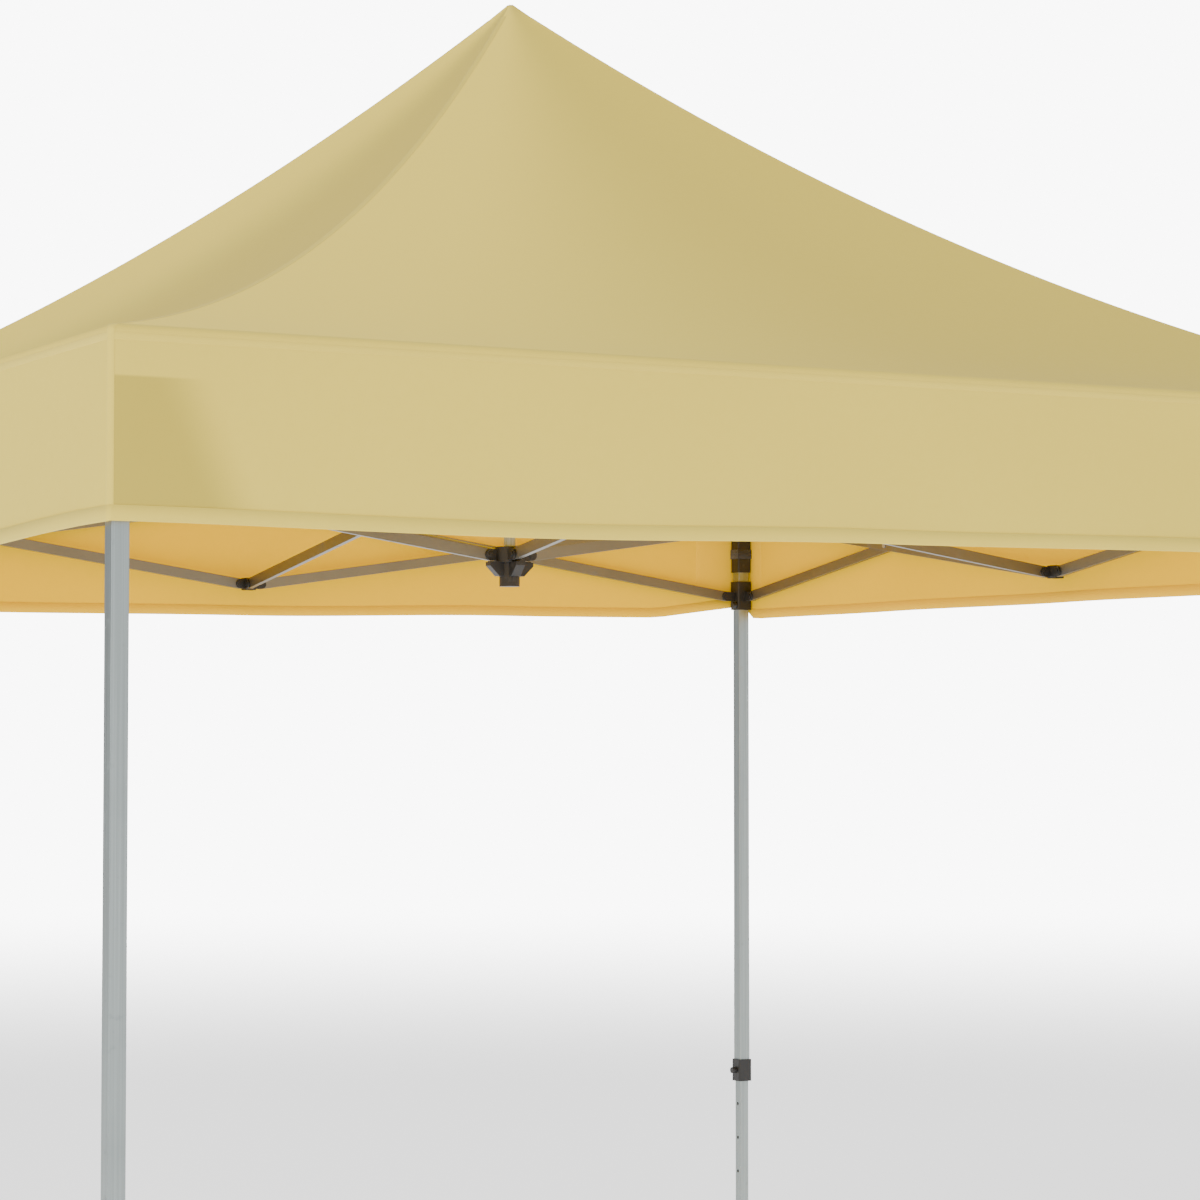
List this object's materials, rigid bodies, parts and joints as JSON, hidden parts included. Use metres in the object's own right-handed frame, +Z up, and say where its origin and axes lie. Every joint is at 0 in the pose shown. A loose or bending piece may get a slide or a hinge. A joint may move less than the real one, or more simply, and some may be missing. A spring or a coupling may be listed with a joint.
{
  "type": "pop up canopy",
  "caption": "Square pop up canopy with a pyramid fabric top and straight valance on a folding scissor frame with telescopic legs, lower hub pole and locking sliders.",
  "frame": {"origin": "on the ground under the middle of the canopy", "axes": "+X to the right side, +Y to the back side, +Z up; the legs stand on the diagonals"},
  "size_m": [2.95, 2.95, 3.2098],
  "materials": {
    "canopy_cloth": "matt coated polyester",
    "bar_aluminium": "satin anodised",
    "leg_aluminium": "satin anodised",
    "pole_aluminium": "satin anodised",
    "black_plastic": "moulded nylon",
    "latch_plastic": "moulded nylon"
  },
  "bodies": {
    "hub_upper": {"hub_upper": "black_plastic", "canopy_right": "canopy_cloth", "canopy_back": "canopy_cloth", "canopy_left": "canopy_cloth", "canopy_front": "canopy_cloth"},
    "hub_lower": {"hub_lower": "black_plastic", "peak_pole_lower": "pole_aluminium"},
    "peak_pole_top": {"peak_pole_top": "pole_aluminium"},
    "inner_bar_right_high": {"inner_bar_right_high": "bar_aluminium"},
    "inner_bar_right_low": {"inner_bar_right_low": "bar_aluminium"},
    "connector_upper_right": {"connector_upper_right": "black_plastic"},
    "connector_lower_right": {"connector_lower_right": "black_plastic"},
    "inner_bar_back_high": {"inner_bar_back_high": "bar_aluminium"},
    "inner_bar_back_low": {"inner_bar_back_low": "bar_aluminium"},
    "connector_upper_back": {"connector_upper_back": "black_plastic"},
    "connector_lower_back": {"connector_lower_back": "black_plastic"},
    "inner_bar_left_high": {"inner_bar_left_high": "bar_aluminium"},
    "inner_bar_left_low": {"inner_bar_left_low": "bar_aluminium"},
    "connector_upper_left": {"connector_upper_left": "black_plastic"},
    "connector_lower_left": {"connector_lower_left": "black_plastic"},
    "inner_bar_front_high": {"inner_bar_front_high": "bar_aluminium"},
    "inner_bar_front_low": {"inner_bar_front_low": "bar_aluminium"},
    "connector_upper_front": {"connector_upper_front": "black_plastic"},
    "connector_lower_front": {"connector_lower_front": "black_plastic"},
    "bar_right_back_right_slider": {"bar_right_back_right_slider": "bar_aluminium"},
    "bar_right_back_right_top": {"bar_right_back_right_top": "bar_aluminium"},
    "bar_right_front_right_slider": {"bar_right_front_right_slider": "bar_aluminium"},
    "bar_right_front_right_top": {"bar_right_front_right_top": "bar_aluminium"},
    "bar_back_back_left_slider": {"bar_back_back_left_slider": "bar_aluminium"},
    "bar_back_back_left_top": {"bar_back_back_left_top": "bar_aluminium"},
    "bar_back_back_right_slider": {"bar_back_back_right_slider": "bar_aluminium"},
    "bar_back_back_right_top": {"bar_back_back_right_top": "bar_aluminium"},
    "bar_left_front_left_slider": {"bar_left_front_left_slider": "bar_aluminium"},
    "bar_left_front_left_top": {"bar_left_front_left_top": "bar_aluminium"},
    "bar_left_back_left_slider": {"bar_left_back_left_slider": "bar_aluminium"},
    "bar_left_back_left_top": {"bar_left_back_left_top": "bar_aluminium"},
    "bar_front_front_right_slider": {"bar_front_front_right_slider": "bar_aluminium"},
    "bar_front_front_right_top": {"bar_front_front_right_top": "bar_aluminium"},
    "bar_front_front_left_slider": {"bar_front_front_left_slider": "bar_aluminium"},
    "bar_front_front_left_top": {"bar_front_front_left_top": "bar_aluminium"},
    "leg_outer_back_right": {"leg_outer_back_right": "leg_aluminium"},
    "slider_back_right": {"slider_back_right": "black_plastic"},
    "leg_inner_back_right": {"leg_inner_back_right": "leg_aluminium"},
    "slider_latch_back_right": {"slider_latch_back_right": "latch_plastic"},
    "leg_latch_back_right": {"leg_latch_back_right": "latch_plastic"},
    "leg_outer_back_left": {"leg_outer_back_left": "leg_aluminium"},
    "slider_back_left": {"slider_back_left": "black_plastic"},
    "leg_inner_back_left": {"leg_inner_back_left": "leg_aluminium"},
    "slider_latch_back_left": {"slider_latch_back_left": "latch_plastic"},
    "leg_latch_back_left": {"leg_latch_back_left": "latch_plastic"},
    "leg_outer_front_left": {"leg_outer_front_left": "leg_aluminium"},
    "slider_front_left": {"slider_front_left": "black_plastic"},
    "leg_inner_front_left": {"leg_inner_front_left": "leg_aluminium"},
    "slider_latch_front_left": {"slider_latch_front_left": "latch_plastic"},
    "leg_latch_front_left": {"leg_latch_front_left": "latch_plastic"},
    "leg_outer_front_right": {"leg_outer_front_right": "leg_aluminium"},
    "slider_front_right": {"slider_front_right": "black_plastic"},
    "leg_inner_front_right": {"leg_inner_front_right": "leg_aluminium"},
    "slider_latch_front_right": {"slider_latch_front_right": "latch_plastic"},
    "leg_latch_front_right": {"leg_latch_front_right": "latch_plastic"}
  },
  "joints": [
    {"name": "hub_to_right_bar", "type": "hinge", "parent": "hub_upper", "child": "inner_bar_right_high", "pos_m": [0.045, 0.008, 2.21], "axis": [0, 1, 0], "range_deg": [0, 80]},
    {"name": "inner_cross_right", "type": "hinge", "parent": "inner_bar_right_high", "child": "inner_bar_right_low", "pos_m": [0.7285, 0, 2.11], "axis": [0, 1, 0], "range_deg": [-160, 0]},
    {"name": "upper_connector_pivot_right", "type": "hinge", "parent": "inner_bar_right_low", "child": "connector_upper_right", "pos_m": [1.412, -0.008, 2.21], "axis": [0, 1, 0], "range_deg": [0, 80]},
    {"name": "lower_connector_pivot_right", "type": "hinge", "parent": "inner_bar_right_high", "child": "connector_lower_right", "pos_m": [1.412, 0.008, 2.01], "axis": [0, 1, 0], "range_deg": [-80, 0]},
    {"name": "hub_to_back_bar", "type": "hinge", "parent": "hub_upper", "child": "inner_bar_back_high", "pos_m": [-0.008, 0.045, 2.21], "axis": [-1, 0, 0], "range_deg": [0, 80]},
    {"name": "inner_cross_back", "type": "hinge", "parent": "inner_bar_back_high", "child": "inner_bar_back_low", "pos_m": [0, 0.7285, 2.11], "axis": [-1, 0, 0], "range_deg": [-160, 0]},
    {"name": "upper_connector_pivot_back", "type": "hinge", "parent": "inner_bar_back_low", "child": "connector_upper_back", "pos_m": [0.008, 1.412, 2.21], "axis": [-1, 0, 0], "range_deg": [0, 80]},
    {"name": "lower_connector_pivot_back", "type": "hinge", "parent": "inner_bar_back_high", "child": "connector_lower_back", "pos_m": [-0.008, 1.412, 2.01], "axis": [-1, 0, 0], "range_deg": [-80, 0]},
    {"name": "hub_to_left_bar", "type": "hinge", "parent": "hub_upper", "child": "inner_bar_left_high", "pos_m": [-0.045, -0.008, 2.21], "axis": [0, -1, 0], "range_deg": [0, 80]},
    {"name": "inner_cross_left", "type": "hinge", "parent": "inner_bar_left_high", "child": "inner_bar_left_low", "pos_m": [-0.7285, 0, 2.11], "axis": [0, -1, 0], "range_deg": [-160, 0]},
    {"name": "upper_connector_pivot_left", "type": "hinge", "parent": "inner_bar_left_low", "child": "connector_upper_left", "pos_m": [-1.412, 0.008, 2.21], "axis": [0, -1, 0], "range_deg": [0, 80]},
    {"name": "lower_connector_pivot_left", "type": "hinge", "parent": "inner_bar_left_high", "child": "connector_lower_left", "pos_m": [-1.412, -0.008, 2.01], "axis": [0, -1, 0], "range_deg": [-80, 0]},
    {"name": "canopy_fold", "type": "hinge", "parent": "hub_upper", "child": "inner_bar_front_high", "pos_m": [0.008, -0.045, 2.21], "axis": [1, 0, 0], "range_deg": [0, 80]},
    {"name": "inner_cross_front", "type": "hinge", "parent": "inner_bar_front_high", "child": "inner_bar_front_low", "pos_m": [0, -0.7285, 2.11], "axis": [1, 0, 0], "range_deg": [-160, 0]},
    {"name": "upper_connector_pivot_front", "type": "hinge", "parent": "inner_bar_front_low", "child": "connector_upper_front", "pos_m": [-0.008, -1.412, 2.21], "axis": [1, 0, 0], "range_deg": [0, 80]},
    {"name": "lower_connector_pivot_front", "type": "hinge", "parent": "inner_bar_front_high", "child": "connector_lower_front", "pos_m": [0.008, -1.412, 2.01], "axis": [1, 0, 0], "range_deg": [-80, 0]},
    {"name": "lower_hub_pivot", "type": "hinge", "parent": "inner_bar_front_low", "child": "hub_lower", "pos_m": [-0.008, -0.045, 2.01], "axis": [1, 0, 0], "range_deg": [0, 80]},
    {"name": "peak_pole_slide", "type": "slide", "parent": "hub_lower", "child": "peak_pole_top", "axis": [0, 0, 1], "range_m": [0, 0.35]},
    {"name": "connector_to_slider_bar_right_back_right", "type": "hinge", "parent": "connector_upper_right", "child": "bar_right_back_right_slider", "pos_m": [1.448, 0.028, 2.21], "axis": [-1, 0, 0], "range_deg": [0, 80]},
    {"name": "connector_to_top_bar_right_back_right", "type": "hinge", "parent": "connector_lower_right", "child": "bar_right_back_right_top", "pos_m": [1.432, 0.028, 2.01], "axis": [-1, 0, 0], "range_deg": [-80, 0]},
    {"name": "connector_to_slider_bar_right_front_right", "type": "hinge", "parent": "connector_upper_right", "child": "bar_right_front_right_slider", "pos_m": [1.448, -0.028, 2.21], "axis": [1, 0, 0], "range_deg": [0, 80]},
    {"name": "connector_to_top_bar_right_front_right", "type": "hinge", "parent": "connector_lower_right", "child": "bar_right_front_right_top", "pos_m": [1.432, -0.028, 2.01], "axis": [1, 0, 0], "range_deg": [-80, 0]},
    {"name": "connector_to_slider_bar_back_back_left", "type": "hinge", "parent": "connector_upper_back", "child": "bar_back_back_left_slider", "pos_m": [-0.028, 1.448, 2.21], "axis": [0, -1, 0], "range_deg": [0, 80]},
    {"name": "connector_to_top_bar_back_back_left", "type": "hinge", "parent": "connector_lower_back", "child": "bar_back_back_left_top", "pos_m": [-0.028, 1.432, 2.01], "axis": [0, -1, 0], "range_deg": [-80, 0]},
    {"name": "connector_to_slider_bar_back_back_right", "type": "hinge", "parent": "connector_upper_back", "child": "bar_back_back_right_slider", "pos_m": [0.028, 1.448, 2.21], "axis": [0, 1, 0], "range_deg": [0, 80]},
    {"name": "connector_to_top_bar_back_back_right", "type": "hinge", "parent": "connector_lower_back", "child": "bar_back_back_right_top", "pos_m": [0.028, 1.432, 2.01], "axis": [0, 1, 0], "range_deg": [-80, 0]},
    {"name": "connector_to_slider_bar_left_front_left", "type": "hinge", "parent": "connector_upper_left", "child": "bar_left_front_left_slider", "pos_m": [-1.448, -0.028, 2.21], "axis": [1, 0, 0], "range_deg": [0, 80]},
    {"name": "connector_to_top_bar_left_front_left", "type": "hinge", "parent": "connector_lower_left", "child": "bar_left_front_left_top", "pos_m": [-1.432, -0.028, 2.01], "axis": [1, 0, 0], "range_deg": [-80, 0]},
    {"name": "connector_to_slider_bar_left_back_left", "type": "hinge", "parent": "connector_upper_left", "child": "bar_left_back_left_slider", "pos_m": [-1.448, 0.028, 2.21], "axis": [-1, 0, 0], "range_deg": [0, 80]},
    {"name": "connector_to_top_bar_left_back_left", "type": "hinge", "parent": "connector_lower_left", "child": "bar_left_back_left_top", "pos_m": [-1.432, 0.028, 2.01], "axis": [-1, 0, 0], "range_deg": [-80, 0]},
    {"name": "connector_to_slider_bar_front_front_right", "type": "hinge", "parent": "connector_upper_front", "child": "bar_front_front_right_slider", "pos_m": [0.028, -1.448, 2.21], "axis": [0, 1, 0], "range_deg": [0, 80]},
    {"name": "connector_to_top_bar_front_front_right", "type": "hinge", "parent": "connector_lower_front", "child": "bar_front_front_right_top", "pos_m": [0.028, -1.432, 2.01], "axis": [0, 1, 0], "range_deg": [-80, 0]},
    {"name": "connector_to_slider_bar_front_front_left", "type": "hinge", "parent": "connector_upper_front", "child": "bar_front_front_left_slider", "pos_m": [-0.028, -1.448, 2.21], "axis": [0, -1, 0], "range_deg": [0, 80]},
    {"name": "connector_to_top_bar_front_front_left", "type": "hinge", "parent": "connector_lower_front", "child": "bar_front_front_left_top", "pos_m": [-0.028, -1.432, 2.01], "axis": [0, -1, 0], "range_deg": [-80, 0]},
    {"name": "leg_pivot_back_right", "type": "hinge", "parent": "bar_right_back_right_top", "child": "leg_outer_back_right", "pos_m": [1.432, 1.395, 2.21], "axis": [-1, 0, 0], "range_deg": [0, 80]},
    {"name": "slider_pivot_back_right", "type": "hinge", "parent": "bar_right_back_right_slider", "child": "slider_back_right", "pos_m": [1.448, 1.395, 2.01], "axis": [-1, 0, 0], "range_deg": [-80, 0]},
    {"name": "leg_height_back_right", "type": "slide", "parent": "leg_outer_back_right", "child": "leg_inner_back_right", "axis": [0, 0, 1], "range_m": [0, 0.65]},
    {"name": "slider_latch_pull_back_right", "type": "slide", "parent": "slider_back_right", "child": "slider_latch_back_right", "axis": [-1, 0, 0], "range_m": [0, 0.006], "stiffness_N_per_m": 600, "springref_m": -0.004},
    {"name": "leg_latch_pull_back_right", "type": "slide", "parent": "leg_outer_back_right", "child": "leg_latch_back_right", "axis": [-1, 0, 0], "range_m": [0, 0.006], "stiffness_N_per_m": 600, "springref_m": -0.004},
    {"name": "leg_pivot_back_left", "type": "hinge", "parent": "bar_back_back_left_top", "child": "leg_outer_back_left", "pos_m": [-1.395, 1.432, 2.21], "axis": [0, -1, 0], "range_deg": [0, 80]},
    {"name": "slider_pivot_back_left", "type": "hinge", "parent": "bar_back_back_left_slider", "child": "slider_back_left", "pos_m": [-1.395, 1.448, 2.01], "axis": [0, -1, 0], "range_deg": [-80, 0]},
    {"name": "leg_height_back_left", "type": "slide", "parent": "leg_outer_back_left", "child": "leg_inner_back_left", "axis": [0, 0, 1], "range_m": [0, 0.65]},
    {"name": "slider_latch_pull_back_left", "type": "slide", "parent": "slider_back_left", "child": "slider_latch_back_left", "axis": [0, -1, 0], "range_m": [0, 0.006], "stiffness_N_per_m": 600, "springref_m": -0.004},
    {"name": "leg_latch_pull_back_left", "type": "slide", "parent": "leg_outer_back_left", "child": "leg_latch_back_left", "axis": [0, -1, 0], "range_m": [0, 0.006], "stiffness_N_per_m": 600, "springref_m": -0.004},
    {"name": "leg_pivot_front_left", "type": "hinge", "parent": "bar_left_front_left_top", "child": "leg_outer_front_left", "pos_m": [-1.432, -1.395, 2.21], "axis": [1, 0, 0], "range_deg": [0, 80]},
    {"name": "slider_pivot_front_left", "type": "hinge", "parent": "bar_left_front_left_slider", "child": "slider_front_left", "pos_m": [-1.448, -1.395, 2.01], "axis": [1, 0, 0], "range_deg": [-80, 0]},
    {"name": "leg_height_front_left", "type": "slide", "parent": "leg_outer_front_left", "child": "leg_inner_front_left", "axis": [0, 0, 1], "range_m": [0, 0.65]},
    {"name": "slider_latch_pull_front_left", "type": "slide", "parent": "slider_front_left", "child": "slider_latch_front_left", "axis": [1, 0, 0], "range_m": [0, 0.006], "stiffness_N_per_m": 600, "springref_m": -0.004},
    {"name": "leg_latch_pull_front_left", "type": "slide", "parent": "leg_outer_front_left", "child": "leg_latch_front_left", "axis": [1, 0, 0], "range_m": [0, 0.006], "stiffness_N_per_m": 600, "springref_m": -0.004},
    {"name": "leg_pivot_front_right", "type": "hinge", "parent": "bar_front_front_right_top", "child": "leg_outer_front_right", "pos_m": [1.395, -1.432, 2.21], "axis": [0, 1, 0], "range_deg": [0, 80]},
    {"name": "slider_pivot_front_right", "type": "hinge", "parent": "bar_front_front_right_slider", "child": "slider_front_right", "pos_m": [1.395, -1.448, 2.01], "axis": [0, 1, 0], "range_deg": [-80, 0]},
    {"name": "leg_height_front_right", "type": "slide", "parent": "leg_outer_front_right", "child": "leg_inner_front_right", "axis": [0, 0, 1], "range_m": [0, 0.65]},
    {"name": "slider_latch_pull_front_right", "type": "slide", "parent": "slider_front_right", "child": "slider_latch_front_right", "axis": [0, 1, 0], "range_m": [0, 0.006], "stiffness_N_per_m": 600, "springref_m": -0.004},
    {"name": "leg_latch_pull_front_right", "type": "slide", "parent": "leg_outer_front_right", "child": "leg_latch_front_right", "axis": [0, 1, 0], "range_m": [0, 0.006], "stiffness_N_per_m": 600, "springref_m": -0.004}
  ],
  "couplings": [
    {"joint": "hub_to_right_bar", "follows": "canopy_fold", "ratio": 1},
    {"joint": "inner_cross_right", "follows": "canopy_fold", "ratio": -2},
    {"joint": "upper_connector_pivot_right", "follows": "canopy_fold", "ratio": 1},
    {"joint": "lower_connector_pivot_right", "follows": "canopy_fold", "ratio": -1},
    {"joint": "hub_to_back_bar", "follows": "canopy_fold", "ratio": 1},
    {"joint": "inner_cross_back", "follows": "canopy_fold", "ratio": -2},
    {"joint": "upper_connector_pivot_back", "follows": "canopy_fold", "ratio": 1},
    {"joint": "lower_connector_pivot_back", "follows": "canopy_fold", "ratio": -1},
    {"joint": "hub_to_left_bar", "follows": "canopy_fold", "ratio": 1},
    {"joint": "inner_cross_left", "follows": "canopy_fold", "ratio": -2},
    {"joint": "upper_connector_pivot_left", "follows": "canopy_fold", "ratio": 1},
    {"joint": "lower_connector_pivot_left", "follows": "canopy_fold", "ratio": -1},
    {"joint": "inner_cross_front", "follows": "canopy_fold", "ratio": -2},
    {"joint": "upper_connector_pivot_front", "follows": "canopy_fold", "ratio": 1},
    {"joint": "lower_connector_pivot_front", "follows": "canopy_fold", "ratio": -1},
    {"joint": "lower_hub_pivot", "follows": "canopy_fold", "ratio": 1},
    {"joint": "peak_pole_slide", "follows": "canopy_fold", "m_per_rad": 0.25067},
    {"joint": "connector_to_slider_bar_right_back_right", "follows": "canopy_fold", "ratio": 1},
    {"joint": "connector_to_top_bar_right_back_right", "follows": "canopy_fold", "ratio": -1},
    {"joint": "connector_to_slider_bar_right_front_right", "follows": "canopy_fold", "ratio": 1},
    {"joint": "connector_to_top_bar_right_front_right", "follows": "canopy_fold", "ratio": -1},
    {"joint": "connector_to_slider_bar_back_back_left", "follows": "canopy_fold", "ratio": 1},
    {"joint": "connector_to_top_bar_back_back_left", "follows": "canopy_fold", "ratio": -1},
    {"joint": "connector_to_slider_bar_back_back_right", "follows": "canopy_fold", "ratio": 1},
    {"joint": "connector_to_top_bar_back_back_right", "follows": "canopy_fold", "ratio": -1},
    {"joint": "connector_to_slider_bar_left_front_left", "follows": "canopy_fold", "ratio": 1},
    {"joint": "connector_to_top_bar_left_front_left", "follows": "canopy_fold", "ratio": -1},
    {"joint": "connector_to_slider_bar_left_back_left", "follows": "canopy_fold", "ratio": 1},
    {"joint": "connector_to_top_bar_left_back_left", "follows": "canopy_fold", "ratio": -1},
    {"joint": "connector_to_slider_bar_front_front_right", "follows": "canopy_fold", "ratio": 1},
    {"joint": "connector_to_top_bar_front_front_right", "follows": "canopy_fold", "ratio": -1},
    {"joint": "connector_to_slider_bar_front_front_left", "follows": "canopy_fold", "ratio": 1},
    {"joint": "connector_to_top_bar_front_front_left", "follows": "canopy_fold", "ratio": -1},
    {"joint": "leg_pivot_back_right", "follows": "canopy_fold", "ratio": 1},
    {"joint": "slider_pivot_back_right", "follows": "canopy_fold", "ratio": -1},
    {"joint": "leg_pivot_back_left", "follows": "canopy_fold", "ratio": 1},
    {"joint": "slider_pivot_back_left", "follows": "canopy_fold", "ratio": -1},
    {"joint": "leg_pivot_front_left", "follows": "canopy_fold", "ratio": 1},
    {"joint": "slider_pivot_front_left", "follows": "canopy_fold", "ratio": -1},
    {"joint": "leg_pivot_front_right", "follows": "canopy_fold", "ratio": 1},
    {"joint": "slider_pivot_front_right", "follows": "canopy_fold", "ratio": -1}
  ]
}
